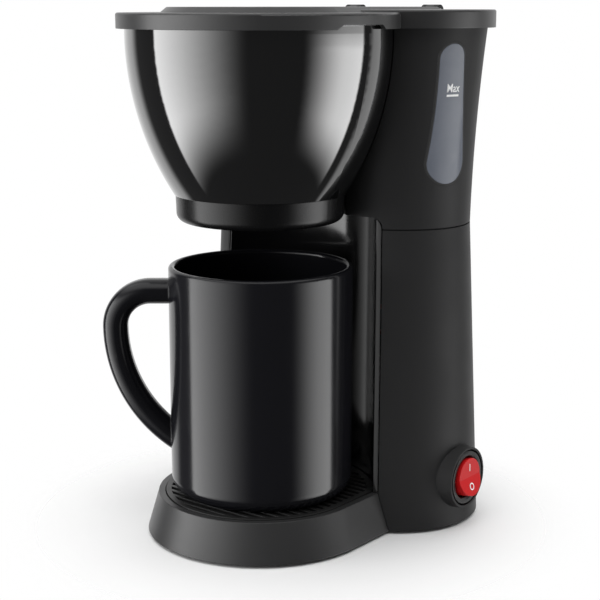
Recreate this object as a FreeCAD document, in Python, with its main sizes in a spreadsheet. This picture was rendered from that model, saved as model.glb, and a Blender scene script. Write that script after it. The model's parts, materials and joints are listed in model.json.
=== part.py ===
import FreeCAD, Part
import math
import os
from types import SimpleNamespace

import Sketcher

# One-cup drip coffee maker: a funnel head over a mug, with the tank and the heater in a waisted tower
# behind it. Millimetres, +Z up, the front faces -Y. The origin is under the middle of the machine.
# Places are given from the mug's axis, which stands axis_setback in front of the origin.

Vector = FreeCAD.Vector
Z_AXIS = Vector(0, 0, 1)

# Driving dimensions, kept in the document's spreadsheet.
DRIVING = {
    # layout
    "axis_setback": 21.8,
    "tower_setback": 62.4,
    "lobe_spread": 34.0,
    "wall": 2.4,
    "fit_gap": 0.2,
    "move_gap": 0.4,
    "overrun": 5.0,
    # tower
    "foot_height": 1.5,
    "tower_r_bottom": 40.0,
    "waist_r": 33.5,
    "waist_z": 143.2,
    "tower_r_top": 40.0,
    "tower_top_z": 238.0,
    "flare_radius": 940.0,
    "seam": 0.6,
    "seam_depth": 0.8,
    "ceiling_rise": 5.8,
    "lip_height": 3.0,
    "lip_wall": 1.6,
    "tank_floor": 2.5,
    # base and drip well
    "base_r_bottom": 54.0,
    "base_r_top": 48.7,
    "deck_z": 19.5,
    "deck_overlap": 1.0,
    "rim_width": 3.0,
    "ledge_drop": 3.5,
    "ledge_width": 3.0,
    "well_depth": 4.0,
    "well_floor": 2.0,
    "grate_proud": 0.5,
    "rib_pitch": 4.4,
    "rib_width": 1.8,
    "grate_frame": 2.5,
    # front panel
    "panel_r": 53.0,
    "panel_wall": 2.2,
    "panel_gap": 0.5,
    "recess_corner": 5.0,
    # funnel
    "bowl_r": 59.9,
    "shoulder_drop": 6.0,
    "neck_r": 39.2,
    "flange_width": 1.1,
    "flange_height": 2.6,
    "ring_r": 38.5,
    "ring_draft": 0.3,
    "ring_hang": 1.3,
    "ring_height": 12.3,
    "ring_round": 4.0,
    "outlet_r": 3.5,
    "filter_seat_drop": 26.0,
    "seat_rib_height": 16.0,
    # filter
    "filter_seat_r": 46.0,
    "filter_rim_r": 53.0,
    "filter_rim": 2.4,
    "filter_foot_r": 20.0,
    "filter_foot_rise": 4.0,
    "filter_inset": 4.0,
    "mesh_wall": 0.8,
    "rib_wall": 2.2,
    # water path
    "riser_offset": 19.6,
    "hose_bore_r": 5.05,
    "hose_r": 7.2,
    "barb_r": 5.0,
    "pipe_bore_r": 2.8,
    "riser_r": 4.2,
    "riser_flange_r": 8.5,
    "riser_flange": 2.0,
    "seal_height": 1.5,
    "spout_drop": 8.0,
    "spout_height": 6.0,
    "spout_width": 10.0,
    "spout_wall": 1.0,
    "shower_r": 14.0,
    "shower_height": 5.0,
    "shower_wall": 1.2,
    "shower_hole_r": 0.8,
    "valve_z": 108.0,
    "valve_r": 8.0,
    "valve_height": 10.0,
    "barb_length": 9.0,
    "clamp_height": 5.0,
    "clamp_wall": 1.3,
    "clamp_bite": 0.1,
    "clamp_inset": 2.0,
    # heater
    "inlet_offset": 26.0,
    "heater_z": 40.0,
    "leg_top_z": 76.0,
    "element_forward": 13.0,
    "element_r": 4.0,
    "element_drop": 6.0,
    "block_z": 50.0,
    "block_height": 10.0,
    "block_margin": 20.0,
    "block_depth": 26.0,
    "post_r": 4.0,
    "post_inset": 6.0,
    "screw_r": 1.5,
    "screw_head_r": 3.0,
    "screw_head": 1.4,
    "screw_gap": 0.05,
    "screw_bite": 6.5,
    "screw_tip": 1.0,
    "thermostat_r": 7.0,
    "thermostat_height": 8.0,
    "fuse_length": 8.0,
    "fuse_width": 6.0,
    "wire_r": 1.2,
    "wire_bend": 4.0,
    "wire_lane": 5.0,
    # switch
    "switch_forward": 1.9,
    "switch_z": 24.0,
    "boss_stand": 2.5,
    "boss_r": 14.6,
    "boss_root_r": 16.2,
    "boss_length": 14.0,
    "bezel_r": 13.3,
    "bezel_height": 2.0,
    "bezel_round": 0.9,
    "case_r": 11.6,
    "case_depth": 13.0,
    "opening_r": 9.9,
    "rocker_r": 9.0,
    "rocker_rise": 4.6,
    "rocker_dip": 1.3,
    "rocker_back": 2.0,
    "rocker_tilt": 9.0,
    "pivot_depth": 2.0,
    "trunnion_r": 1.2,
    "blade_length": 8.0,
    "blade_spread": 4.0,
    # cord inlet
    "inlet_x": 16.0,
    "inlet_z": 16.0,
    "cord_r": 3.4,
    "gland_r": 6.0,
    "gland_flange_r": 8.5,
    "gland_flange": 2.0,
    "gland_stand": 0.6,
    "terminal_x": 24.0,
    "terminal_length": 22.0,
    "terminal_depth": 12.0,
    "terminal_height": 14.0,
    # bottom
    "cover_thickness": 2.5,
    "cover_gap": 0.5,
    "cover_screw_x": 36.0,
    "cover_screw_front": 8.0,
    "boss_inset": 5.0,
    "boss_post_r": 5.5,
    "boss_top_z": 24.0,
    "foot_r": 6.0,
    "foot_front_x": 32.0,
    "foot_front": 28.0,
    "foot_rear_x": 56.0,
    "foot_rear": 66.0,
    # lid
    "lid_gap": 0.4,
    "skirt_height": 6.8,
    "skirt_gap": 0.5,
    "band_gap": 1.2,
    "lid_step": 1.2,
    "lid_wall": 2.0,
    "lid_edge": 1.0,
    "raised_r": 44.0,
    "raised_rear_half": 35.0,
    "raised_rear_inset": 2.6,
    "raised_height": 2.4,
    "raised_slope": 3.0,
    "skirt_rear_inset": 10.4,
    "lid_rear_inset": 1.8,
    "notch_width": 30.0,
    "notch_height": 2.0,
    "notch_slope": 3.0,
    "notch_forward": 6.6,
    "hinge_back": 1.6,
    "hinge_rise": 0.2,
    "knuckle_r": 3.2,
    "knuckle_x": 23.2,
    "knuckle_length": 4.6,
    "ear_width": 2.0,
    "ear_drop": 14.0,
    "pin_r": 1.5,
    # window, from the tower's centre line
    "window_top_drop": 17.5,
    "window_top_forward": 12.1,
    "window_top_r": 6.5,
    "window_low_rise": 25.0,
    "window_low_forward": 10.1,
    "window_low_r": 10.0,
    "window_side_r": 250.0,
    "gasket_width": 0.8,
    # mug
    "mug_r": 42.5,
    "mug_height": 107.0,
    "mug_wall": 3.2,
    "mug_floor": 6.0,
    "mug_round": 8.0,
    "mug_kick": 1.5,
    "mug_inner_round": 6.0,
    "handle_turn": 218.5,
    "handle_reach": 30.7,
    "handle_drop": 12.5,
    "handle_low": 23.0,
    "handle_bend": 16.5,
    "handle_width": 11.5,
    "handle_depth": 14.0,
}

doc = FreeCAD.newDocument("CoffeeMaker")
sheet = doc.addObject("Spreadsheet::Sheet", "Sizes")


class Size:
    """A size of the sheet, or one worked out from such sizes: its value, and the expression for it."""

    def __init__(self, value, text):
        self.value = float(value)
        self.text = text

    def __add__(self, other):
        other = size(other)
        return Size(self.value + other.value, f"({self.text} + {other.text})")

    def __sub__(self, other):
        other = size(other)
        return Size(self.value - other.value, f"({self.text} - {other.text})")

    def __mul__(self, other):
        other = size(other)
        return Size(self.value * other.value, f"({self.text} * {other.text})")

    def __truediv__(self, other):
        other = size(other)
        return Size(self.value / other.value, f"({self.text} / {other.text})")

    def __neg__(self):
        return Size(-self.value, f"(0 - {self.text})")

    def __radd__(self, other):
        return size(other) + self

    def __rsub__(self, other):
        return size(other) - self

    def __rmul__(self, other):
        return size(other) * self

    def root(self):
        return Size(math.sqrt(self.value), f"sqrt({self.text})")

    def square(self):
        return self * self


def size(value):
    """The value as a Size, so that plain numbers mix with the sheet's."""
    if isinstance(value, Size):
        return value
    return Size(value, f"({float(value)!r})")


def fill_sheet():
    """Writes the driving dimensions into the sheet and returns them as Sizes by name."""
    sizes = SimpleNamespace()
    for row, (alias, value) in enumerate(DRIVING.items(), start=1):
        sheet.set(f"A{row}", alias)
        sheet.set(f"B{row}", str(value))
        sheet.setAlias(f"B{row}", alias)
        setattr(sizes, alias, Size(value, f"Sizes.{alias}"))
    doc.recompute()
    return sizes


d = fill_sheet()


# Helpers that bind a property to the sheet


def bind(thing, path, value):
    """Sets a property of an object to a Size through an expression."""
    thing.setExpression(path, size(value).text)


def place(thing, x=0.0, y=0.0, z=0.0, turn=None, axis=Z_AXIS):
    """Puts an object at x, y, z from the mug's axis, turned by an angle about an axis of its own."""
    if turn is not None:
        thing.Placement = FreeCAD.Placement(Vector(), FreeCAD.Rotation(axis, size(turn).value))
        if isinstance(turn, Size):
            bind(thing, "Placement.Rotation.Angle", turn)
    bind(thing, "Placement.Base.x", x)
    bind(thing, "Placement.Base.y", y - d.axis_setback)
    bind(thing, "Placement.Base.z", z)
    return thing


# A primitive's own Z axis can point along X or along Y instead.
ALONG = {"Z": (None, Z_AXIS), "X": (90, Vector(0, 1, 0)), "Y": (-90, Vector(1, 0, 0))}


def cylinder(name, radius, height, x=0.0, y=0.0, z=0.0, along="Z"):
    thing = doc.addObject("Part::Cylinder", name)
    bind(thing, "Radius", radius)
    bind(thing, "Height", height)
    turn, axis = ALONG[along]
    return place(thing, x, y, z, turn, axis)


def cone(name, low_radius, top_radius, height, x=0.0, y=0.0, z=0.0, along="Z"):
    thing = doc.addObject("Part::Cone", name)
    bind(thing, "Radius1", low_radius)
    bind(thing, "Radius2", top_radius)
    bind(thing, "Height", height)
    turn, axis = ALONG[along]
    return place(thing, x, y, z, turn, axis)


def box(name, x, y, z):
    """A block between pairs of coordinates."""
    thing = doc.addObject("Part::Box", name)
    bind(thing, "Length", x[1] - x[0])
    bind(thing, "Width", y[1] - y[0])
    bind(thing, "Height", z[1] - z[0])
    return place(thing, x[0], y[0], z[0])


def fuse(name, *things):
    result = doc.addObject("Part::MultiFuse", name)
    result.Shapes = list(things)
    result.Refine = True
    return result


def cut(name, base, *tools):
    for number, tool in enumerate(tools, start=1):
        result = doc.addObject("Part::Cut", name if number == len(tools) else f"{name}_{number}")
        result.Base = base
        result.Tool = tool
        result.Refine = True
        base = result
    return base


def common(name, one, other):
    result = doc.addObject("Part::Common", name)
    result.Base = one
    result.Tool = other
    result.Refine = True
    return result


def group(name, things):
    """Separate solids that share one node."""
    result = doc.addObject("Part::Compound", name)
    result.Links = list(things)
    return result


# Sketches


def arc_between(start, end, radius):
    """An arc from start to end; the centre is on the left for a positive radius."""
    (ax, ay), (bx, by) = start, end
    chord = math.hypot(bx - ax, by - ay)
    rise = math.sqrt(max(radius * radius - chord * chord / 4, 0.0))
    side = 1 if radius > 0 else -1
    cx = (ax + bx) / 2 - side * (by - ay) / chord * rise
    cy = (ay + by) / 2 + side * (bx - ax) / chord * rise
    first = math.atan2(ay - cy, ax - cx)
    last = math.atan2(by - cy, bx - cx)
    if side < 0:
        first, last = last, first
    return Part.ArcOfCircle(Part.Circle(Vector(cx, cy, 0), Z_AXIS, abs(radius)), first, last)


def draw(sketch, corners, closed=True):
    """Draws lines and arcs through corners of x, y and, for an arc that ends there, its radius."""
    corners = [[size(value) for value in corner] for corner in corners]
    steps = list(zip(corners, corners[1:] + corners[:1]))
    if not closed:
        steps.pop()
    ends = []
    for start, end in steps:
        a = (start[0].value, start[1].value)
        b = (end[0].value, end[1].value)
        if len(end) == 3:
            edge = sketch.addGeometry(arc_between(a, b, end[2].value))
            held = sketch.addConstraint(Sketcher.Constraint("Radius", edge, abs(end[2].value)))
            bind(sketch, f"Constraints[{held}]", end[2] if end[2].value > 0 else -end[2])
            ends.append((edge, 1, 2) if end[2].value > 0 else (edge, 2, 1))
        else:
            edge = sketch.addGeometry(Part.LineSegment(Vector(*a, 0), Vector(*b, 0)))
            ends.append((edge, 1, 2))
    for before, after in zip(ends, ends[1:] + ends[:1] if closed else ends[1:]):
        sketch.addConstraint(Sketcher.Constraint("Coincident", before[0], before[2], after[0], after[1]))
    points = [(edge, first) for edge, first, last in ends]
    if not closed:
        points.append((ends[-1][0], ends[-1][2]))
    for (edge, vertex), corner in zip(points, corners):
        for kind, value in zip(("DistanceX", "DistanceY"), corner):
            held = sketch.addConstraint(Sketcher.Constraint(kind, -1, 1, edge, vertex, value.value))
            bind(sketch, f"Constraints[{held}]", value)


UPRIGHT = FreeCAD.Rotation(Vector(1, 0, 0), 90)


def upright_sketch(name, corners):
    """A free sketch whose x runs along X and whose y runs along Z."""
    sketch = doc.addObject("Sketcher::SketchObject", name)
    sketch.Placement = FreeCAD.Placement(Vector(), UPRIGHT)
    draw(sketch, corners)
    return sketch


def flat_sketch(name, corners, z):
    """A free sketch in a level plane at height z."""
    sketch = doc.addObject("Sketcher::SketchObject", name)
    draw(sketch, corners)
    return place(sketch, z=z)


def body_sketch(body, name, plane, corners, closed=True):
    """A sketch on one of a body's own origin planes."""
    sketch = body.newObject("Sketcher::SketchObject", name)
    support = next(item for item in body.Origin.OriginFeatures if item.Role == plane)
    sketch.AttachmentSupport = [(support, "")]
    sketch.MapMode = "FlatFace"
    draw(sketch, corners, closed)
    return sketch


def turned(name, corners, x=0.0, y=0.0, z=0.0, along="Z"):
    """A body turned about its own Z axis from a profile of radius and height."""
    body = doc.addObject("PartDesign::Body", name)
    sketch = body_sketch(body, f"{name}_profile", "XZ_Plane", corners)
    turn = body.newObject("PartDesign::Revolution", f"{name}_turn")
    turn.Profile = sketch
    turn.ReferenceAxis = (sketch, ["V_Axis"])
    turn.Angle = 360
    angle, axis = ALONG[along]
    return place(body, x, y, z, angle, axis)


def spun(name, corners):
    """A plain solid turned about the mug's axis, for use in cuts."""
    result = doc.addObject("Part::Revolution", name)
    result.Source = upright_sketch(f"{name}_profile", corners)
    result.Axis = Z_AXIS
    result.Angle = 360
    result.Solid = True
    return place(result)


def prism(name, corners, length, x=0.0, y=0.0, z=0.0, turn=0):
    """An upright profile drawn out both ways along Y, then turned about Z."""
    result = doc.addObject("Part::Extrusion", name)
    result.Base = upright_sketch(f"{name}_profile", corners)
    result.DirMode = "Custom"
    result.Dir = Vector(0, 1, 0)
    result.Symmetric = True
    result.Solid = True
    bind(result, "LengthFwd", length)
    return place(result, x, y, z, turn)


def tower_solid(name, corners):
    """A solid of the tower's plan, two round lobes and the straight part between, from half a section."""
    sketch = upright_sketch(f"{name}_section", corners)
    pieces = []
    for side, turn in ((1, 0), (-1, 180)):
        lobe = doc.addObject("Part::Revolution", f"{name}_lobe")
        lobe.Source = sketch
        lobe.Axis = Z_AXIS
        lobe.Angle = 180
        lobe.Symmetric = True
        lobe.Solid = True
        pieces.append(place(lobe, d.lobe_spread * side, d.tower_setback, 0, turn))
        face = doc.addObject("Part::Extrusion", f"{name}_face")
        face.Base = sketch
        face.DirMode = "Custom"
        face.Dir = Vector(0, 1, 0)
        face.Symmetric = True
        face.Solid = True
        bind(face, "LengthFwd", d.lobe_spread * 2)
        pieces.append(place(face, 0, d.tower_setback, 0, turn + 90))
    return fuse(name, *pieces)


def slot_plate(name, radius, z):
    """A level plate of the tower's plan between two heights."""
    height = z[1] - z[0]
    left = cylinder(f"{name}_left", radius, height, -d.lobe_spread, d.tower_setback, z[0])
    right = cylinder(f"{name}_right", radius, height, d.lobe_spread, d.tower_setback, z[0])
    middle = box(
        f"{name}_middle",
        (-d.lobe_spread, d.lobe_spread),
        (d.tower_setback - radius, d.tower_setback + radius),
        z,
    )
    return fuse(name, left, right, middle)


# Sizes that several pieces share

OVER = d.overrun
cover_top_z = d.foot_height + d.cover_thickness
ledge_z = d.deck_z - d.ledge_drop
well_floor_z = ledge_z - d.well_depth
hollow_z = well_floor_z - d.well_floor
grate_top_z = d.deck_z + d.grate_proud
recess_r = d.panel_r + d.panel_wall
base_depth = recess_r + d.deck_overlap
ceiling_z = d.waist_z + d.ceiling_rise
floor_top_z = ceiling_z + d.tank_floor
ring_z = ceiling_z - d.ring_hang
neck_z = ring_z + d.ring_height
flange_r = d.bowl_r + d.flange_width
flange_z = d.tower_top_z - d.flange_height
shoulder_z = d.tower_top_z - d.shoulder_drop
filter_seat_z = d.tower_top_z - d.filter_seat_drop
filter_foot_z = neck_z + d.filter_foot_rise
spout_z = d.tower_top_z - d.spout_drop
window_top_z = d.tower_top_z - d.window_top_drop
window_low_z = ceiling_z + d.window_low_rise
riser_back = d.tower_setback + d.riser_offset
pipe_x = (-d.inlet_offset, size(0.0))
block_top_z = d.block_z + d.block_height
plate_z = d.tower_top_z + d.lid_gap
lid_top_z = plate_z + d.lid_wall
skirt_z = lid_top_z - d.skirt_height
lid_r = flange_r + d.skirt_gap + d.lid_wall
band_r = d.tower_r_top + d.band_gap + d.lid_wall
tower_rear_y = d.tower_setback + d.tower_r_top
lid_rear_y = tower_rear_y - d.lid_rear_inset
skirt_rear_y = tower_rear_y - d.skirt_rear_inset
raised_rear_y = lid_rear_y - d.raised_rear_inset
hinge_y = tower_rear_y + d.hinge_back
hinge_z = lid_top_z + d.hinge_rise
boss_face = d.lobe_spread + d.tower_r_bottom + d.boss_stand
switch_y = d.tower_setback - d.switch_forward
case_seat = boss_face - d.bezel_height
case_rear = case_seat - d.case_depth
pivot_x = boss_face - d.pivot_depth
handle_top = d.mug_height - d.handle_drop


def tangent_radius(run, rise):
    """Radius of the arc that leaves the vertical at one end and covers this run and rise."""
    return (run.square() + rise.square()) / (run * 2)


def bowl_curve(offset):
    """The funnel's curve moved out by an offset: neck radius, rim radius and the arc between."""
    neck = d.neck_r + offset * 1.2
    rim = d.bowl_r + offset
    return neck, rim, tangent_radius(rim - neck, shoulder_z - neck_z)


def funnel_core(name, offset, flange):
    """A plain solid of the funnel moved out by an offset, to clear its place in the tower."""
    neck, rim, arc = bowl_curve(offset)
    low = d.waist_z - d.lip_height - OVER
    high = d.tower_top_z + OVER
    corners = [
        (0, low),
        (neck, low),
        (neck, neck_z),
        (rim, shoulder_z, arc),
        (rim, flange_z),
    ]
    if flange:
        corners.append((flange_r + offset, flange_z))
        corners.append((flange_r + offset, high))
    else:
        corners.append((rim, high))
    corners.append((0, high))
    return spun(name, corners)


# The head: funnel, outlet ring and filter


def spout_notch(name):
    """The gap in the funnel's rim and in the pocket's wall that the spout passes through."""
    half = d.spout_width / 2 + d.fit_gap
    return box(
        name,
        (-half, half),
        (d.bowl_r - d.wall - OVER, d.bowl_r + d.wall + OVER),
        (spout_z - d.fit_gap, d.tower_top_z + OVER),
    )


def funnel_bowl():
    neck, rim, arc = bowl_curve(size(0.0))
    inner_neck, inner_rim, inner_arc = bowl_curve(-d.wall)
    shell = turned(
        "bowl_shell",
        [
            (inner_neck, neck_z, -inner_arc),
            (neck, neck_z),
            (rim, shoulder_z, arc),
            (rim, flange_z),
            (flange_r, flange_z),
            (flange_r, d.tower_top_z),
            (inner_rim, d.tower_top_z),
            (inner_rim, shoulder_z),
        ],
    )
    low = filter_seat_z - d.seat_rib_height
    profile = [
        (d.filter_seat_r, low),
        (d.bowl_r, low),
        (d.bowl_r, filter_seat_z),
        (d.filter_seat_r, filter_seat_z),
    ]
    ribs = [prism(f"seat_rib_{turn}", profile, d.rib_wall, turn=turn) for turn in (45, 135, 225, 315)]
    seats = common("seat_ribs", group("seat_rib_blanks", ribs), funnel_core("rib_limit", -d.wall / 2, False))
    return cut("funnel_bowl", fuse("bowl_with_seats", shell, seats), spout_notch("bowl_notch"))


def funnel_ring():
    low_r = d.ring_r - d.ring_draft
    inner_r = d.ring_r - d.wall
    return turned(
        "funnel_ring",
        [
            (d.outlet_r, ring_z),
            (low_r - d.ring_round, ring_z),
            (low_r, ring_z + d.ring_round, d.ring_round),
            (d.ring_r, neck_z),
            (inner_r, neck_z),
            (inner_r, ring_z + d.wall * 2),
            (d.outlet_r, ring_z + d.wall),
        ],
    )


def filter_frame():
    top_r = d.filter_seat_r - d.filter_inset
    rim_top = filter_seat_z + d.filter_rim
    rim = turned(
        "filter_rim",
        [
            (top_r, filter_seat_z),
            (d.filter_rim_r, filter_seat_z),
            (d.filter_rim_r, rim_top),
            (top_r, rim_top),
        ],
    )
    foot_z = filter_foot_z - d.rib_wall
    foot = turned(
        "filter_foot",
        [
            (d.filter_foot_r - d.rib_wall * 2, foot_z),
            (d.filter_foot_r + d.rib_wall, foot_z),
            (d.filter_foot_r + d.rib_wall, filter_foot_z),
            (d.filter_foot_r - d.rib_wall * 2, filter_foot_z),
        ],
    )
    inner = d.mesh_wall / 2
    outer = d.rib_wall - inner
    low = filter_foot_z - d.rib_wall / 2
    high = filter_seat_z + d.filter_rim / 2
    profile = [
        (d.filter_foot_r + inner, low),
        (d.filter_foot_r + outer, low),
        (d.filter_foot_r + outer, filter_foot_z),
        (top_r + outer, filter_seat_z),
        (top_r + outer, high),
        (top_r + inner, high),
        (top_r + inner, filter_seat_z),
        (d.filter_foot_r + inner, filter_foot_z),
    ]
    ribs = [prism(f"filter_rib_{turn}", profile, d.rib_wall, turn=turn) for turn in range(0, 360, 60)]
    return fuse("filter_frame", rim, foot, *ribs)


def filter_mesh():
    top_r = d.filter_seat_r - d.filter_inset
    floor_z = filter_foot_z + d.mesh_wall
    return turned(
        "filter_mesh",
        [
            (0, filter_foot_z),
            (d.filter_foot_r, filter_foot_z),
            (top_r, filter_seat_z),
            (top_r - d.mesh_wall, filter_seat_z),
            (d.filter_foot_r - d.mesh_wall, floor_z),
            (0, floor_z),
        ],
    )


# The tower's upper half: the water tank


def window_outline(grow):
    """The level window's outline moved out by grow: a large round end below, a small one above, and a
    front side that is drawn in between them."""
    low_y = -d.window_low_forward
    top_y = -d.window_top_forward
    low_r = d.window_low_r + grow
    top_r = d.window_top_r + grow
    side_r = d.window_side_r - grow
    run = top_y - low_y
    rise = window_top_z - window_low_z
    length = (run.square() + rise.square()).root()
    along_y = run / length
    along_z = rise / length
    lean = (low_r - top_r) / length
    across = (1 - lean.square()).root()
    rear = (along_y * lean + along_z * across, along_z * lean - along_y * across)
    low_reach = side_r + low_r
    top_reach = side_r + top_r
    up = (low_reach.square() - top_reach.square() + length.square()) / (length * 2)
    out = (low_reach.square() - up.square()).root()
    to_low = ((along_y * up - along_z * out) / low_reach, (along_z * up + along_y * out) / low_reach)
    to_top = (
        (along_y * (up - length) - along_z * out) / top_reach,
        (along_z * (up - length) + along_y * out) / top_reach,
    )
    return [
        (low_y + rear[0] * low_r, window_low_z + rear[1] * low_r, low_r),
        (top_y + rear[0] * top_r, window_top_z + rear[1] * top_r),
        (top_y + along_y * top_r, window_top_z + along_z * top_r, top_r),
        (top_y + to_top[0] * top_r, window_top_z + to_top[1] * top_r, top_r),
        (low_y + to_low[0] * low_r, window_low_z + to_low[1] * low_r, -side_r),
        (low_y - along_y * low_r, window_low_z - along_z * low_r, low_r),
    ]


def window_block(name, grow):
    """The window's outline drawn along X through the wall of the right lobe."""
    start = d.lobe_spread + d.tower_r_top * 0.55
    return prism(name, window_outline(grow), d.tower_r_top, start + d.tower_r_top / 2, d.tower_setback, 0, 90)


def hinge_sides():
    """The two hinges' places across the machine."""
    return ((-1, "left"), (1, "right"))


def hinge_ears():
    ears = []
    reach = d.knuckle_length / 2 + d.move_gap
    for side, word in hinge_sides():
        for end, offset in (("inner", -reach - d.ear_width), ("outer", reach)):
            low = d.knuckle_x * side + offset
            name = f"ear_{word}_{end}"
            post = box(
                f"{name}_post",
                (low, low + d.ear_width),
                (lid_rear_y + d.move_gap, hinge_y + d.knuckle_r),
                (hinge_z - d.ear_drop, hinge_z),
            )
            eye = cylinder(f"{name}_eye", d.knuckle_r, d.ear_width, low, hinge_y, hinge_z, "X")
            ears.append(fuse(name, post, eye))
    return ears


def hinge_pins():
    pins = []
    length = d.knuckle_length + (d.move_gap + d.ear_width) * 2
    for side, word in hinge_sides():
        low = d.knuckle_x * side - length / 2
        pins.append(cylinder(f"pin_{word}", d.pin_r, length, low, hinge_y, hinge_z, "X"))
    return group("hinge_pins", pins)


def knuckle_room(name):
    """Room for the knuckles to turn in the tower's rear edge, between the ears."""
    length = d.knuckle_length + d.move_gap * 2
    rooms = []
    for side, word in hinge_sides():
        low = d.knuckle_x * side - length / 2
        rooms.append(cylinder(f"{name}_{word}", d.knuckle_r + d.move_gap, length, low, hinge_y, hinge_z, "X"))
    return group(name, rooms)


def hinge_bore(name):
    reach = d.knuckle_x + d.knuckle_length + d.ear_width * 2
    return cylinder(name, d.pin_r + d.screw_gap, reach * 2, -reach, hinge_y, hinge_z, "X")


def recess_half():
    """Half the width of the panel's recess where it comes out of the tower's side at the waist."""
    span = (d.lobe_spread.square() + d.tower_setback.square()).root()
    reach = recess_r + d.panel_gap
    along = (reach.square() - d.waist_r.square() + span.square()) / (span * 2)
    across = (reach.square() - along.square()).root()
    return (along * d.lobe_spread + across * d.tower_setback) / span


def panel_recess(name, gap, low):
    """The room of the front panel with a gap round it, up to the ceiling, where its corners are round."""
    half = recess_half() + gap - d.panel_gap
    corner = d.recess_corner
    wide = half + OVER
    arch = prism(
        f"{name}_arch",
        [
            (-wide, low),
            (wide, low),
            (wide, d.waist_z - OVER),
            (half, d.waist_z),
            (half, ceiling_z - corner),
            (half - corner, ceiling_z, corner),
            (corner - half, ceiling_z),
            (-half, ceiling_z - corner, corner),
            (-half, d.waist_z),
            (-wide, d.waist_z - OVER),
        ],
        recess_r * 3,
    )
    return common(name, cylinder(f"{name}_round", recess_r + gap, ceiling_z - low, z=low), arch)


def upper_housing_and_window():
    lip_r = d.waist_r - d.wall - d.fit_gap
    lip_inner = lip_r - d.lip_wall
    lip_z = d.waist_z - d.lip_height
    low = lip_z - OVER
    high = d.tower_top_z + OVER
    outer = tower_solid(
        "upper_outer",
        [
            (0, lip_z),
            (lip_r, lip_z),
            (lip_r, d.waist_z),
            (d.waist_r - d.seam_depth, d.waist_z),
            (d.waist_r - d.seam_depth, d.waist_z + d.seam),
            (d.waist_r, d.waist_z + d.seam),
            (d.tower_r_top, d.tower_top_z, -d.flare_radius),
            (0, d.tower_top_z),
        ],
    )
    tank = tower_solid(
        "tank_space",
        [
            (0, floor_top_z),
            (d.waist_r - d.wall, floor_top_z),
            (d.tower_r_top - d.wall, d.tower_top_z, -d.flare_radius),
            (d.tower_r_top - d.wall, high),
            (0, high),
        ],
    )
    under = tower_solid("under_space", [(0, low), (lip_inner, low), (lip_inner, ceiling_z), (0, ceiling_z)])
    room = cut("tank_room", tank, funnel_core("pocket_wall", d.fit_gap + d.wall, False))
    shell = cut("upper_shell", outer, room, under)
    nipple = cylinder(
        "tank_nipple", d.barb_r, d.barb_length, pipe_x[0], riser_back, ceiling_z - d.barb_length
    )
    hole_r = d.barb_r + d.fit_gap
    housing = cut(
        "upper_housing",
        fuse("upper_with_ears", shell, nipple, *hinge_ears()),
        funnel_core("funnel_pocket", d.fit_gap, True),
        panel_recess("upper_recess", d.panel_gap, low),
        cylinder("tank_outlet", d.pipe_bore_r, d.barb_length + OVER * 2, pipe_x[0], riser_back, low - OVER),
        cylinder("riser_hole", hole_r, d.tank_floor + OVER * 2, pipe_x[1], riser_back, ceiling_z - OVER),
        spout_notch("pocket_notch"),
        knuckle_room("knuckle_room"),
        hinge_bore("ear_bore"),
        window_block("window_hole", d.gasket_width),
    )
    wall = cut("window_wall", outer, tank)
    lens = common("window_lens", window_block("lens_block", -d.screw_gap), wall)
    gasket = window_block("gasket_outer", d.gasket_width)
    frame = cut("gasket_block", gasket, window_block("gasket_inner", size(0.0)))
    return housing, lens, common("window_gasket", frame, wall)


# The tower's lower half with the base


def half_cone(name, low_r, top_r, z):
    """The front half of a cone about the mug's axis."""
    thing = cone(name, low_r, top_r, z[1] - z[0])
    thing.Angle = 180
    return place(thing, 0, 0, z[0], 180)


def half_disc(name, radius, z):
    """The front half of a cylinder about the mug's axis."""
    thing = cylinder(name, radius, z[1] - z[0])
    thing.Angle = 180
    return place(thing, 0, 0, z[0], 180)


def base_solid(name, low_r, top_r, z, depth):
    """The base's plan, round in front with straight sides behind, with sloped walls."""
    front = half_cone(f"{name}_front", low_r, top_r, z)
    profile = [(-low_r, z[0]), (low_r, z[0]), (top_r, z[1]), (-top_r, z[1])]
    rear = prism(f"{name}_rear", profile, depth, 0, depth / 2, 0)
    return fuse(name, front, rear)


def tray(name, inset, z):
    """The drip well's plan, drawn in by inset: round in front, straight sides, round towards the panel."""
    half = d.base_r_top - d.rim_width - inset
    front = half_disc(f"{name}_front", half, z)
    block = box(f"{name}_block", (-half, half), (size(0.0), recess_r), z)
    disc = cylinder(f"{name}_disc", d.panel_r - d.fit_gap - inset, z[1] - z[0], z=z[0])
    return fuse(name, front, common(f"{name}_rear", block, disc))


def cover_screw_places():
    """Screw places under the base: two in front, two beside the lobes' rear walls."""
    reach = (d.tower_r_bottom - d.wall - d.boss_inset) * math.sqrt(0.5)
    places = []
    for side, word in ((-1, "left"), (1, "right")):
        places.append((f"front_{word}", d.cover_screw_x * side, -d.cover_screw_front))
        places.append((f"rear_{word}", (d.lobe_spread + reach) * side, d.tower_setback + reach))
    return places


def slope_r(low_r, top_r, low_z, top_z, z):
    """Radius at height z of a straight wall between two heights."""
    return low_r - (low_r - top_r) * (z - low_z) / (top_z - low_z)


def rear_screws():
    return [place for place in cover_screw_places() if place[0].startswith("rear")]


def front_screws():
    return [place for place in cover_screw_places() if place[0].startswith("front")]


def screw_boss(word, x, y, top):
    return cylinder(f"boss_{word}", d.boss_post_r, top - cover_top_z, x, y, cover_top_z)


def screw_hole(word, x, y):
    return cylinder(f"hole_{word}", d.screw_r + d.screw_gap, d.screw_bite, x, y, cover_top_z)


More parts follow.
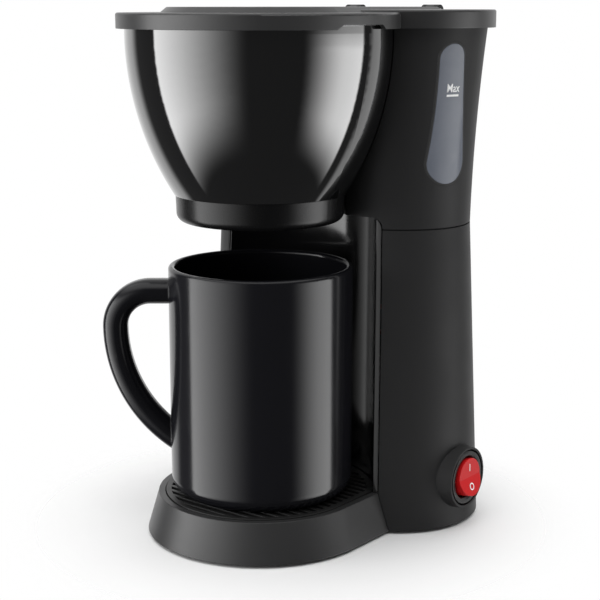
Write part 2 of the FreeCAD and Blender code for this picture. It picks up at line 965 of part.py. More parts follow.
def lower_housing():
    low = d.foot_height - OVER
    wall_r = d.tower_r_bottom - d.wall
    outer = tower_solid(
        "lower_outer",
        [
            (0, d.foot_height),
            (d.tower_r_bottom, d.foot_height),
            (d.waist_r, d.waist_z),
            (0, d.waist_z),
        ],
    )
    space = tower_solid(
        "lower_space",
        [
            (0, low),
            (wall_r, low),
            (wall_r, d.foot_height),
            (d.waist_r - d.wall, d.waist_z),
            (d.waist_r - d.wall, d.waist_z + OVER),
            (0, d.waist_z + OVER),
        ],
    )
    boss = cone(
        "switch_boss",
        d.boss_root_r,
        d.boss_r,
        d.boss_length,
        boss_face - d.boss_length,
        switch_y,
        d.switch_z,
        "X",
    )
    gland_y = d.tower_setback + d.waist_r
    gland = cylinder("gland_boss", d.gland_flange_r, gland_face - gland_y, d.inlet_x, gland_y, d.inlet_z, "Y")
    bosses = [screw_boss(word, x, y, d.boss_top_z) for word, x, y in rear_screws()]
    gap = d.fit_gap
    passage = base_solid(
        "base_passage", d.base_r_bottom + gap, d.base_r_top + gap, (d.foot_height, d.deck_z), base_depth + gap
    )
    hole_x = boss_face - d.boss_length - OVER
    return cut(
        "lower_housing",
        fuse("lower_solid", cut("lower_shell", outer, space), boss, gland, *bosses),
        passage,
        panel_recess("lower_recess", d.panel_gap, d.deck_z),
        cylinder("case_hole", d.case_r + gap, d.boss_length + OVER, hole_x, switch_y, d.switch_z, "X"),
        cylinder("bezel_seat", d.bezel_r + gap, d.bezel_height + OVER, case_seat, switch_y, d.switch_z, "X"),
        cylinder("gland_hole", d.gland_r + gap, d.tower_r_bottom, d.inlet_x, gland_y - OVER, d.inlet_z, "Y"),
        group("rear_holes", [screw_hole(word, x, y) for word, x, y in rear_screws()]),
    )


def base_tray():
    """The base under the mug, with the drip well; its rear runs into the tower and carries the panel."""
    low = d.foot_height - OVER
    wall_r = d.tower_r_bottom - d.wall
    hollow_r = slope_r(wall_r, d.waist_r - d.wall, d.foot_height, d.waist_z, hollow_z)
    open_foot = tower_solid(
        "open_foot",
        [(0, low), (wall_r, low), (wall_r, d.foot_height), (hollow_r, hollow_z), (0, hollow_z)],
    )
    outer = base_solid("base_outer", d.base_r_bottom, d.base_r_top, (d.foot_height, d.deck_z), base_depth)
    low_r = d.base_r_bottom - d.wall
    high_r = slope_r(d.base_r_bottom, d.base_r_top, d.foot_height, d.deck_z, hollow_z) - d.wall
    space = base_solid("base_space", low_r, high_r, (d.foot_height, hollow_z), base_depth + OVER)
    bosses = [screw_boss(word, x, y, hollow_z + d.well_floor / 2) for word, x, y in front_screws()]
    return cut(
        "base_tray",
        fuse("base_with_bosses", cut("base_hollow", outer, open_foot, space), *bosses),
        tray("well_upper", size(0.0), (ledge_z, d.deck_z + OVER)),
        tray("well_lower", d.ledge_width, (well_floor_z, ledge_z)),
        group("front_holes", [screw_hole(word, x, y) for word, x, y in front_screws()]),
    )


def front_panel():
    """The gloss panel behind the mug, standing on the deck and trimmed to the tower's outline."""
    sheet_solid = cut(
        "panel_sheet",
        panel_recess("panel_back", size(0.0), d.deck_z),
        cylinder("panel_face", d.panel_r, ceiling_z, z=d.foot_height),
    )
    limit = tower_solid(
        "panel_limit",
        [
            (0, d.foot_height),
            (d.tower_r_bottom, d.foot_height),
            (d.waist_r, d.waist_z),
            (d.waist_r, d.tower_top_z),
            (0, d.tower_top_z),
        ],
    )
    return common("front_panel", sheet_solid, limit)


def bottom_cover():
    z = (d.foot_height, cover_top_z)
    inset = d.wall + d.cover_gap
    tower_r = slope_r(d.tower_r_bottom, d.waist_r, d.foot_height, d.waist_z, cover_top_z) - inset
    base_r = slope_r(d.base_r_bottom, d.base_r_top, d.foot_height, d.deck_z, cover_top_z) - inset
    plate = fuse(
        "cover_plate",
        slot_plate("cover_tower", tower_r, z),
        half_disc("cover_front", base_r, z),
        box("cover_base", (-base_r, base_r), (size(0.0), d.tower_setback), z),
    )
    holes = []
    for word, x, y in cover_screw_places():
        low = d.foot_height - OVER
        holes.append(cylinder(f"cover_hole_{word}", d.screw_r + d.fit_gap, OVER * 2, x, y, low))
        holes.append(
            cylinder(f"cover_bore_{word}", d.screw_head_r + d.fit_gap, d.screw_head + OVER, x, y, low)
        )
    return cut("bottom_cover", plate, fuse("cover_holes", *holes))


def screw(name, x, y, z, length, head_up):
    """A screw whose head's bearing face is at height z."""
    shank_z = z - length if head_up else z
    head_z = z if head_up else z - d.screw_head
    shank = cylinder(f"{name}_shank", d.screw_r, length, x, y, shank_z)
    head = cylinder(f"{name}_head", d.screw_head_r, d.screw_head, x, y, head_z)
    return fuse(name, shank, head)


def cover_screws():
    z = d.foot_height + d.screw_head
    length = d.cover_thickness - d.screw_head + d.screw_bite - d.screw_tip
    screws = [screw(f"screw_{word}", x, y, z, length, False) for word, x, y in cover_screw_places()]
    return group("cover_screws", screws)


def rubber_feet():
    feet = []
    for side, word in ((-1, "left"), (1, "right")):
        for end, x, y in (("front", d.foot_front_x, -d.foot_front), ("rear", d.foot_rear_x, d.foot_rear)):
            feet.append(cylinder(f"foot_{end}_{word}", d.foot_r, d.foot_height, x * side, y, 0))
    return group("rubber_feet", feet)


def drip_grate():
    z = (ledge_z, grate_top_z)
    plate = tray("grate_plate", d.move_gap, z)
    inside = tray("grate_inside", d.move_gap + d.grate_frame, (ledge_z - OVER, grate_top_z + OVER))
    half = d.base_r_top
    slots = []
    count = int((d.base_r_top.value + d.panel_r.value) / d.rib_pitch.value)
    for number in range(count):
        low = -d.base_r_top + d.rib_pitch * number + d.rib_width / 2
        high = low + d.rib_pitch - d.rib_width
        slots.append(
            box(f"slot_{number}", (-half, half), (low, high), (ledge_z - OVER, grate_top_z + OVER))
        )
    return cut("drip_grate", plate, common("grate_slots", inside, group("slot_blanks", slots)))


# Water path


def riser_tube():
    flange_low = floor_top_z + d.seal_height
    flange_high = flange_low + d.riser_flange
    return turned(
        "riser_tube",
        [
            (d.pipe_bore_r, ceiling_z - d.barb_length),
            (d.barb_r, ceiling_z - d.barb_length),
            (d.barb_r, flange_low),
            (d.riser_flange_r, flange_low),
            (d.riser_flange_r, flange_high),
            (d.riser_r, flange_high),
            (d.riser_r, spout_z),
            (d.pipe_bore_r, spout_z),
        ],
        pipe_x[1],
        riser_back,
    )


def riser_seal():
    inner = d.barb_r + d.screw_gap
    return turned(
        "riser_seal",
        [
            (inner, floor_top_z),
            (d.riser_flange_r, floor_top_z),
            (d.riser_flange_r, floor_top_z + d.seal_height),
            (inner, floor_top_z + d.seal_height),
        ],
        pipe_x[1],
        riser_back,
    )


def spout_arm():
    half = d.spout_width / 2
    top = spout_z + d.spout_height
    middle_z = spout_z + d.spout_height / 2
    arm = fuse(
        "spout_blank",
        box("spout_beam", (-half, half), (size(0.0), riser_back), (spout_z, top)),
        cylinder("spout_nose", half, d.spout_height, z=spout_z),
        cylinder("spout_heel", half, d.spout_height, 0, riser_back, spout_z),
    )
    bore_r = d.spout_height / 2 - d.spout_wall
    rise = d.spout_height / 2
    return cut(
        "spout_arm",
        arm,
        fuse(
            "spout_bores",
            cylinder("spout_bore", bore_r, riser_back, 0, 0, middle_z, "Y"),
            cylinder("spout_inlet", d.pipe_bore_r, rise + OVER, 0, riser_back, spout_z - OVER),
            cylinder("spout_outlet", d.pipe_bore_r, rise + OVER, 0, 0, spout_z - OVER),
        ),
    )


def shower_head():
    low = spout_z - d.shower_height
    head = turned(
        "shower_blank",
        [
            (d.pipe_bore_r, spout_z),
            (d.shower_r, spout_z),
            (d.shower_r, low),
            (0, low),
            (0, low + d.shower_wall),
            (d.shower_r - d.shower_wall, low + d.shower_wall),
            (d.shower_r - d.shower_wall, spout_z - d.shower_wall),
            (d.pipe_bore_r, spout_z - d.shower_wall),
        ],
    )
    holes = []
    for turn in range(0, 360, 45):
        x = d.shower_r * 0.65 * math.cos(math.radians(turn))
        y = d.shower_r * 0.65 * math.sin(math.radians(turn))
        start = low - d.shower_wall
        holes.append(cylinder(f"shower_hole_{turn}", d.shower_hole_r, d.shower_wall * 3, x, y, start))
    return cut("shower_head", head, group("shower_holes", holes))


def hose(name, x, z):
    return turned(
        name,
        [(d.hose_bore_r, z[0]), (d.hose_r, z[0]), (d.hose_r, z[1]), (d.hose_bore_r, z[1])],
        x,
        riser_back,
    )


def hose_spans():
    """The hoses: name, place across the machine and the heights between which each one runs."""
    low = d.valve_z - d.valve_height / 2
    high = d.valve_z + d.valve_height / 2
    return (
        ("inlet_hose_upper", pipe_x[0], (high, ceiling_z)),
        ("inlet_hose_lower", pipe_x[0], (block_top_z, low)),
        ("outlet_hose", pipe_x[1], (block_top_z, ceiling_z)),
    )


def hose_clamps():
    """A spring clamp near each end of each hose, closed a little into the hose."""
    clamps = []
    inner = d.hose_r - d.clamp_bite
    outer = inner + d.clamp_wall
    for name, x, z in hose_spans():
        for end, low in (("low", z[0] + d.clamp_inset), ("high", z[1] - d.clamp_inset - d.clamp_height)):
            high = low + d.clamp_height
            clamps.append(
                turned(
                    f"{name}_clamp_{end}",
                    [(inner, low), (outer, low), (outer, high), (inner, high)],
                    x,
                    riser_back,
                )
            )
    return group("hose_clamps", clamps)


def check_valve():
    low = d.valve_z - d.valve_height / 2
    high = d.valve_z + d.valve_height / 2
    room_r = d.valve_r - d.wall
    room_low = low + d.wall
    room_high = high - d.wall
    return turned(
        "check_valve",
        [
            (d.pipe_bore_r, low - d.barb_length),
            (d.barb_r, low - d.barb_length),
            (d.barb_r, low),
            (d.valve_r, low),
            (d.valve_r, high),
            (d.barb_r, high),
            (d.barb_r, high + d.barb_length),
            (d.pipe_bore_r, high + d.barb_length),
            (d.pipe_bore_r, room_high),
            (room_r, room_high),
            (room_r, room_low),
            (d.pipe_bore_r, room_low),
        ],
        pipe_x[0],
        riser_back,
    )


def valve_insert():
    """The soft one-way bill that sits on the floor of the valve's room."""
    low = d.valve_z - d.valve_height / 2 + d.wall
    high = d.valve_z + d.valve_height / 2 - d.wall - d.move_gap
    flange_r = d.valve_r - d.wall - d.fit_gap
    return turned(
        "valve_insert",
        [
            (0, high),
            (0, low + d.mesh_wall),
            (d.pipe_bore_r - d.mesh_wall, low),
            (flange_r, low),
            (flange_r, low + d.mesh_wall),
            (d.pipe_bore_r, low + d.mesh_wall),
            (d.mesh_wall, high),
        ],
        pipe_x[0],
        riser_back,
    )


# Heater


def bent_tube(name, radius, y, top_z):
    """A U of round rod that hangs between the two pipes' places."""
    bend_r = d.inlet_offset / 2
    bend = doc.addObject("Part::Torus", f"{name}_bend")
    bind(bend, "Radius1", bend_r)
    bind(bend, "Radius2", radius)
    bend.Angle3 = 180
    place(bend, pipe_x[0] + bend_r, y, d.heater_z, -90, Vector(1, 0, 0))
    legs = [cylinder(f"{name}_leg", radius, top_z - d.heater_z, x, y, d.heater_z) for x in pipe_x]
    return fuse(name, bend, *legs)


def heater_tube():
    outer = bent_tube("heater_pipe", d.barb_r, riser_back, d.leg_top_z)
    inner = bent_tube("heater_bore", d.pipe_bore_r, riser_back, d.leg_top_z)
    return cut("heater_tube", outer, inner)


element_y = riser_back - d.element_forward
element_top_z = d.leg_top_z - d.element_drop
pin_top_z = element_top_z + d.blade_length


def heater_element():
    rod = bent_tube("element_rod", d.element_r, element_y, element_top_z)
    pins = [cylinder("element_pin", d.wire_r, d.blade_length, x, element_y, element_top_z) for x in pipe_x]
    return fuse("heater_element", rod, *pins)


block_middle_x = -d.inlet_offset / 2
block_middle_y = riser_back - d.element_forward / 2
post_x = [block_middle_x + (d.inlet_offset / 2 + d.block_margin - d.post_inset) * side for side in (-1, 1)]


def heater_block():
    half = d.inlet_offset / 2 + d.block_margin
    blank = box(
        "block_blank",
        (block_middle_x - half, block_middle_x + half),
        (block_middle_y - d.block_depth / 2, block_middle_y + d.block_depth / 2),
        (d.block_z, block_top_z),
    )
    low = d.block_z - OVER
    tall = d.block_height + OVER * 2
    holes = []
    for x in pipe_x:
        holes.append(cylinder("block_pipe", d.barb_r + d.screw_gap, tall, x, riser_back, low))
        holes.append(cylinder("block_rod", d.element_r + d.screw_gap, tall, x, element_y, low))
    for x in post_x:
        holes.append(cylinder("block_screw", d.screw_r + d.fit_gap, tall, x, block_middle_y, low))
    return cut("heater_block", blank, group("block_holes", holes))


def heater_posts():
    posts = []
    hole_z = d.block_z - d.screw_bite
    for x in post_x:
        post = cylinder("post_blank", d.post_r, d.block_z - cover_top_z, x, block_middle_y, cover_top_z)
        hole = cylinder("post_hole", d.screw_r + d.screw_gap, d.screw_bite, x, block_middle_y, hole_z)
        posts.append(cut("heater_post", post, hole))
    return group("heater_posts", posts)


def heater_screws():
    length = d.block_height + d.screw_bite - d.screw_tip
    screws = [screw("heater_screw", x, block_middle_y, block_top_z, length, True) for x in post_x]
    return group("heater_screws", screws)


thermostat_top_z = block_top_z + d.thermostat_height


def thermostat():
    tall = d.thermostat_height
    can = cylinder("thermostat_can", d.thermostat_r, tall, block_middle_x, element_y, block_top_z)
    blades = []
    for side in (-1, 1):
        x = block_middle_x + d.blade_spread * side
        blades.append(
            box(
                "thermostat_blade",
                (x - d.wire_r, x + d.wire_r),
                (element_y - d.wire_r, element_y + d.wire_r),
                (thermostat_top_z, thermostat_top_z + d.blade_length),
            )
        )
    return fuse("thermostat", can, *blades)


def thermal_fuse():
    """A fuse in its holder, flat on the rear of the block."""
    half = d.fuse_length / 2
    rear = block_middle_y + d.block_depth / 2
    return box(
        "thermal_fuse",
        (block_middle_x - half, block_middle_x + half),
        (rear - d.fuse_width, rear),
        (block_top_z, block_top_z + d.fuse_width),
    )


# Switch, cord inlet and wiring


def switch_body():
    """Round case with its bezel; the local Z axis points out of the machine along X."""
    depth = -d.bezel_height - d.case_depth
    body = turned(
        "switch_case",
        [
            (0, depth),
            (d.case_r, depth),
            (d.case_r, -d.bezel_height),
            (d.bezel_r, -d.bezel_height),
            (d.bezel_r, -d.bezel_round),
            (d.bezel_r - d.bezel_round, 0),
            (d.opening_r + d.bezel_round, 0),
            (d.opening_r, -d.bezel_round),
            (d.opening_r, depth + d.wall),
            (0, depth + d.wall),
        ],
        boss_face,
        switch_y,
        d.switch_z,
        "X",
    )
    bore_half = d.case_r - d.mesh_wall / 2
    bore = cylinder(
        "trunnion_bore",
        d.trunnion_r + d.screw_gap,
        bore_half * 2,
        pivot_x,
        switch_y - bore_half,
        d.switch_z,
        "Y",
    )
    return cut("switch_body", body, bore)


def rocker():
    """The rocker with its top pressed in, turned about its trunnions."""
    reach = d.rocker_r + OVER
    low = -d.rocker_back
    profile = [
        (low, -reach),
        (d.rocker_rise + d.rocker_dip * reach / d.rocker_r - d.rocker_dip, -reach),
        (d.rocker_rise - d.rocker_dip, 0),
        (d.rocker_rise + d.rocker_dip * reach / d.rocker_r - d.rocker_dip, reach),
        (low, reach),
    ]
    disc = doc.addObject("Part::Cylinder", "rocker_disc")
    bind(disc, "Radius", d.rocker_r)
    bind(disc, "Height", d.rocker_rise + d.rocker_back + OVER)
    disc.Placement = FreeCAD.Placement(Vector(), FreeCAD.Rotation(Vector(0, 1, 0), 90))
    bind(disc, "Placement.Base.x", low)
    wedge = doc.addObject("Part::Extrusion", "rocker_wedge")
    wedge.Base = upright_sketch("rocker_section", profile)
    wedge.DirMode = "Custom"
    wedge.Dir = Vector(0, 1, 0)
    wedge.Symmetric = True
    wedge.Solid = True
    bind(wedge, "LengthFwd", reach * 2)
    cap = common("rocker_cap", disc, wedge)
    axle = doc.addObject("Part::Cylinder", "rocker_axle")
    axle_half = d.case_r - d.mesh_wall
    bind(axle, "Radius", d.trunnion_r)
    bind(axle, "Height", axle_half * 2)
    axle.Placement = FreeCAD.Placement(Vector(), FreeCAD.Rotation(Vector(1, 0, 0), -90))
    bind(axle, "Placement.Base.y", -axle_half)
    return place(fuse("rocker", cap, axle), pivot_x, switch_y, d.switch_z, d.rocker_tilt, Vector(0, -1, 0))


def switch_terminals():
    blades = []
    for side in (-1, 1):
        z = d.switch_z + d.blade_spread * side
        blades.append(
            box(
                "switch_blade",
                (case_rear - d.blade_length, case_rear),
                (switch_y - d.wire_r * 2, switch_y + d.wire_r * 2),
                (z - d.wire_r, z + d.wire_r),
            )
        )
    return group("switch_terminals", blades)


gland_face = d.tower_setback + d.tower_r_bottom + d.gland_stand
gland_length = d.wall + d.gland_stand * 2 + d.gland_flange


def cord_gland():
    """The cord's inlet bush in the rear wall; the local Z axis points to the rear."""
    return turned(
        "cord_gland",
        [
            (d.cord_r, d.gland_flange - gland_length),
            (d.gland_r, d.gland_flange - gland_length),
            (d.gland_r, 0),
            (d.gland_flange_r, 0),
            (d.gland_flange_r - d.bezel_round, d.gland_flange),
            (d.cord_r, d.gland_flange),
        ],
        d.inlet_x,
        gland_face,
        d.inlet_z,
        "Y",
    )


terminal_top_z = cover_top_z + d.terminal_height
terminal_rear_y = riser_back + d.terminal_depth / 2
terminal_front_y = riser_back - d.terminal_depth / 2
terminal_high_x = d.terminal_x + d.terminal_length


def terminal_block():
    return box(
        "terminal_block",
        (d.terminal_x, terminal_high_x),
        (terminal_front_y, terminal_rear_y),
        (cover_top_z, terminal_top_z),
    )


def rounded_path(points, bend):
    """A wire of straight runs through the points, joined by arcs."""
    edges = []
    last = points[0]
    for before, corner, after in zip(points, points[1:], points[2:]):
        back = (before - corner).normalize()
        ahead = (after - corner).normalize()
        half = back.getAngle(ahead) / 2
        reach = bend / math.tan(half)
        start = corner + back * reach
        end = corner + ahead * reach
        inward = (back + ahead).normalize()
        middle = corner + inward * (bend / math.sin(half) - bend)
        edges.append(Part.LineSegment(last, start).toShape())
        edges.append(Part.Arc(start, middle, end).toShape())
        last = end
    edges.append(Part.LineSegment(last, points[-1]).toShape())
    return Part.Wire(edges)


def wires():
    """Four insulated wires: terminal block to switch, switch to heater, heater to thermostat and back."""
    rear_y = switch_y + d.wire_r * 1.5
    front_y = switch_y - d.wire_r * 1.5
    blade_x = case_rear - d.blade_length
    upper_z = d.switch_z + d.blade_spread
    lower_z = d.switch_z - d.blade_spread
    near_x = d.terminal_x + d.wire_lane
    far_x = terminal_high_x - d.wire_lane
    turn_x = blade_x - d.wire_lane * 2
    over_z = pin_top_z + d.wire_lane * 2
    blade_z = thermostat_top_z + d.blade_length
    left_x = block_middle_x - d.blade_spread
    right_x = block_middle_x + d.blade_spread
    high_z = over_z + d.wire_lane * 2
    routes = (
        (
            (near_x, riser_back, terminal_top_z),
            (near_x, riser_back, upper_z),
            (near_x, rear_y, upper_z),
            (blade_x, rear_y, upper_z),
        ),
        (
            (blade_x, front_y, lower_z),
            (turn_x, front_y, lower_z),
            (turn_x, front_y, over_z),
            (pipe_x[1], front_y, over_z),
            (pipe_x[1], element_y, over_z),
            (pipe_x[1], element_y, pin_top_z),
        ),
        (
            (pipe_x[0], element_y, pin_top_z),
            (pipe_x[0], element_y, high_z),
            (left_x, element_y, high_z),
            (left_x, element_y, blade_z),
        ),
        (
            (right_x, element_y, blade_z),
            (right_x, element_y, high_z),
            (far_x, element_y, high_z),
            (far_x, riser_back, high_z),
            (far_x, riser_back, terminal_top_z),
        ),
    )
    solids = []
    for route in routes:
        points = [Vector(*(size(value).value for value in point)) for point in route]
        points = [point - Vector(0, d.axis_setback.value, 0) for point in points]
        path = rounded_path(points, d.wire_bend.value)
        ring = Part.Circle(points[0], points[1] - points[0], d.wire_r.value)
        solids.append(path.makePipeShell([Part.Wire([ring.toShape()])], True, False))
    result = doc.addObject("Part::Feature", "wires")
    result.Shape = Part.Compound(solids)
    return result


# Lid


def raised_top(name, radius, rear_half, rear_y, slope, z):
    """The lid's raised top, round in front and drawn in towards the hinge, with sloped sides."""
    sections = []
    for height, inset in ((z[0], size(0.0)), (z[1], slope)):
        front = radius - inset
        half = rear_half - inset
        rear = rear_y - inset
        corners = [(-front, 0), (0, -front, front), (front, 0, front), (half, rear), (-half, rear)]
        sections.append(flat_sketch(f"{name}_outline", corners, height))
    result = doc.addObject("Part::Loft", name)
    result.Sections = sections
    result.Solid = True
    result.Ruled = True
    return result


def lid_plan(name, inset, z, edge=None):
    """The lid's plan between two heights, the head's disc and the tower's slot, which stands a step higher;
    the top edge can be round."""

    def profile(radius, top):
        if edge is None:
            return [(0, z[0]), (radius, z[0]), (radius, top), (0, top)]
        return [(0, z[0]), (radius, z[0]), (radius, top - edge), (radius - edge, top, edge), (0, top)]

    disc = spun(f"{name}_disc", profile(lid_r - inset, z[1]))
    return fuse(name, disc, tower_solid(f"{name}_slot", profile(band_r - inset, z[1] + d.lid_step)))


def skirt_notch(name, x):
    """A shallow place in the skirt's lower edge beside the head, to lift the lid by."""
    half = d.notch_width / 2
    top = skirt_z + d.notch_height
    low = skirt_z - OVER
    corners = [
        (-half, low),
        (half, low),
        (half, skirt_z),
        (half - d.notch_slope, top),
        (d.notch_slope - half, top),
        (-half, skirt_z),
    ]
    return prism(name, corners, lid_r, x, -d.notch_forward, 0, 90)


def lid():
    far = lid_r * 2
    outer = lid_plan("lid_outer", size(0.0), (skirt_z, lid_top_z), d.lid_edge)
    inner = lid_plan("lid_inner", d.lid_wall, (skirt_z - OVER, plate_z))
    top = raised_top(
        "lid_raised",
        d.raised_r,
        d.raised_rear_half,
        raised_rear_y,
        d.raised_slope,
        (lid_top_z, lid_top_z + d.raised_height),
    )
    hollow = raised_top(
        "lid_hollow",
        d.raised_r - d.lid_wall,
        d.raised_rear_half - d.lid_wall,
        raised_rear_y - d.lid_wall,
        d.raised_slope,
        (lid_top_z - d.lid_wall, lid_top_z + d.raised_height - d.lid_wall),
    )
    notches = [skirt_notch("notch_right", lid_r), skirt_notch("notch_left", -lid_r)]
    shell = cut(
        "lid_shell",
        outer,
        inner,
        box("skirt_trim", (-far, far), (skirt_rear_y, far * 2), (skirt_z - OVER, plate_z + d.lid_step)),
        box("rear_trim", (-far, far), (lid_rear_y, far * 2), (skirt_z - OVER, lid_top_z + OVER)),
        group("finger_notches", notches),
    )
    knuckles = []
    for side, word in hinge_sides():
        low = d.knuckle_x * side - d.knuckle_length / 2
        high = low + d.knuckle_length
        name = f"knuckle_{word}"
        knuckles.append(cylinder(name, d.knuckle_r, d.knuckle_length, low, hinge_y, hinge_z, "X"))
        arm_z = (plate_z + d.lid_step, lid_top_z + d.lid_step)
        knuckles.append(box(f"arm_{word}", (low, high), (raised_rear_y, hinge_y), arm_z))
    return cut("lid", fuse("lid_solid", shell, top, *knuckles), hollow, hinge_bore("knuckle_bore"))


# Mug


def mug():
    """A straight mug with a looped handle; its own Z starts at its foot and the handle points along X."""
    body = doc.addObject("PartDesign::Body", "mug")
    inner_r = d.mug_r - d.mug_wall
    lip = d.mug_wall / 2
    foot_r = d.mug_r - d.mug_round
    outside = body_sketch(
        body,
        "mug_outside",
        "XZ_Plane",
        [
            (0, d.mug_kick),
            (foot_r - d.mug_wall, d.mug_kick),
            (foot_r - d.mug_wall + d.mug_kick, 0),
            (foot_r, 0),
            (d.mug_r, d.mug_round, d.mug_round),
            (d.mug_r, d.mug_height - lip),
            (inner_r + lip, d.mug_height, lip),
            (0, d.mug_height),
        ],
    )
    turn = body.newObject("PartDesign::Revolution", "mug_turn")
    turn.Profile = outside
    turn.ReferenceAxis = (outside, ["V_Axis"])
    turn.Angle = 360
    spine_r = d.mug_r + d.handle_reach - d.handle_width / 2
    start_r = inner_r - d.handle_width / 2
    end_r = d.mug_r - d.handle_width * 0.4
    bend_z = handle_top - d.handle_bend
    path = body_sketch(
        body,
        "handle_path",
        "XZ_Plane",
        [
            (start_r, handle_top),
            (spine_r - d.handle_bend, handle_top),
            (spine_r, bend_z, -d.handle_bend),
            (end_r, d.handle_low, -tangent_radius(spine_r - end_r, bend_z - d.handle_low)),
        ],
        closed=False,
    )
    half_width = d.handle_width / 2
    flat = (d.handle_depth - d.handle_width) / 2
    section = body_sketch(
        body,
        "handle_section",
        "YZ_Plane",
        [
            (-flat, handle_top - half_width, half_width),
            (flat, handle_top - half_width),
            (flat + half_width, handle_top, half_width),
            (flat, handle_top + half_width, half_width),
            (-flat, handle_top + half_width),
            (-flat - half_width, handle_top, half_width),
        ],
    )
    bind(section, "AttachmentOffset.Base.z", start_r)
    handle = body.newObject("PartDesign::AdditivePipe", "mug_handle")
    handle.Profile = section
    handle.Spine = (path, ["Edge1", "Edge2", "Edge3"])
    inside = body_sketch(
        body,
        "mug_inside",
        "XZ_Plane",
        [
            (0, d.mug_floor),
            (inner_r - d.mug_inner_round, d.mug_floor),
            (inner_r, d.mug_floor + d.mug_inner_round, d.mug_inner_round),
            (inner_r, d.mug_height - lip),
            (inner_r + lip, d.mug_height, -lip),
            (inner_r + lip, d.mug_height + OVER),
            (0, d.mug_height + OVER),
        ],
    )
    hollow = body.newObject("PartDesign::Groove", "mug_hollow")
    hollow.Profile = inside
    hollow.ReferenceAxis = (inside, ["V_Axis"])
    hollow.Angle = 360
    return place(body, 0, 0, grate_top_z, d.handle_turn)


def all_nodes():
    return [
        *upper_housing_and_window(),
        lower_housing(),
        base_tray(),
        front_panel(),
        bottom_cover(),
        cover_screws(),
        rubber_feet(),
        drip_grate(),
        funnel_bowl(),
        funnel_ring(),
        filter_frame(),
        filter_mesh(),
        lid(),
        hinge_pins(),
        riser_tube(),
        riser_seal(),
        spout_arm(),
        shower_head(),
        *(hose(name, x, z) for name, x, z in hose_spans()),
        hose_clamps(),
        check_valve(),
        valve_insert(),
        heater_tube(),
        heater_element(),
        heater_block(),
        heater_posts(),
        heater_screws(),
        thermostat(),
        thermal_fuse(),
        switch_body(),
        rocker(),
        switch_terminals(),
        cord_gland(),
        terminal_block(),
        wires(),
        mug(),
    ]


def check(parts):
    """Stops on any object that didn't build and on any node without a sound shape."""
    broken = [thing.Name for thing in doc.Objects if "Invalid" in thing.State or "Error" in thing.State]
    if broken:
        raise RuntimeError(f"objects that failed to build: {broken}")
    for part in parts:
        if part.Shape.isNull() or not part.Shape.isValid():
            raise RuntimeError(f"{part.Label} has no valid shape")


parts = all_nodes()
doc.recompute()
check(parts)
os.makedirs("parts", exist_ok=True)
for part in parts:
    part.Shape.exportStep(f"parts/{part.Label}.step")
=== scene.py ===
import json
import math

import bmesh
import bpy
from mathutils import Matrix, Vector


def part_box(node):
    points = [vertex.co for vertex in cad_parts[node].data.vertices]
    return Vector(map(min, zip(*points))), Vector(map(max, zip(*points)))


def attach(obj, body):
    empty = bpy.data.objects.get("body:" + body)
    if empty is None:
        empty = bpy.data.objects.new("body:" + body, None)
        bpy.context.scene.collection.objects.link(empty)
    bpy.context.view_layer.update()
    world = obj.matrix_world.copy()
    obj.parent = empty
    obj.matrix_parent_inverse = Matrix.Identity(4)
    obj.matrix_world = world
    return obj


# Looks of the drip coffee maker: the finish of every piece, the printed marks, the studio and the camera.
# Metres, in the frame of the solids: +Z up, the mug's side faces -Y, the switch is on +X.

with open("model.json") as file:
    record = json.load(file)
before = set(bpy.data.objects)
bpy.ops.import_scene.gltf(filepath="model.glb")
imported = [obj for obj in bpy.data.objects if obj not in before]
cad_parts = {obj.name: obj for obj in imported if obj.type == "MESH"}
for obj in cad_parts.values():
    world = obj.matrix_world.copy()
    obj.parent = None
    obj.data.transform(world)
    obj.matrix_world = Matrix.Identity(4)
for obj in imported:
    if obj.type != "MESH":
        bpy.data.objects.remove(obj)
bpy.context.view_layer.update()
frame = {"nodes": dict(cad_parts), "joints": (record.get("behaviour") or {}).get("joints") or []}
nodes = frame["nodes"]
joints = {joint["name"]: joint for joint in frame["joints"]}

MM = 0.001
BEVEL_SAMPLES = 6


def middle_of(node):
    low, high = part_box(node)
    return (Vector(low) + Vector(high)) / 2


# The mug's axis, about which the head stands; the outlet ring is round about it.
mug_axis = middle_of("funnel_ring")


# Node helpers


def link(tree, value, socket):
    """Links a socket into another, or sets a plain value on it."""
    if isinstance(value, bpy.types.NodeSocket):
        tree.links.new(value, socket)
    else:
        socket.default_value = value


def calc(tree, operation, *values):
    """A math node's result."""
    node = tree.nodes.new("ShaderNodeMath")
    node.operation = operation
    for value, socket in zip(values, node.inputs):
        link(tree, value, socket)
    return node.outputs[0]


def span(tree, value, source, target, smooth=False):
    """The value moved from one range to another and held inside it."""
    node = tree.nodes.new("ShaderNodeMapRange")
    node.interpolation_type = "SMOOTHSTEP" if smooth else "LINEAR"
    link(tree, value, node.inputs["Value"])
    for name, number in zip(("From Min", "From Max", "To Min", "To Max"), (*source, *target)):
        node.inputs[name].default_value = number
    return node.outputs["Result"]


def place_in_object(tree, stretch=(1, 1, 1)):
    """The point's place on the piece, stretched along the axes."""
    coords = tree.nodes.new("ShaderNodeTexCoord")
    mapping = tree.nodes.new("ShaderNodeMapping")
    mapping.inputs["Scale"].default_value = stretch
    tree.links.new(coords.outputs["Object"], mapping.inputs["Vector"])
    return mapping.outputs["Vector"]


def noise(tree, grain, detail=3.0, stretch=(1, 1, 1)):
    """Noise whose grains are about that many metres across."""
    node = tree.nodes.new("ShaderNodeTexNoise")
    node.inputs["Scale"].default_value = 1 / grain
    node.inputs["Detail"].default_value = detail
    tree.links.new(place_in_object(tree, stretch), node.inputs["Vector"])
    return node.outputs["Fac"]


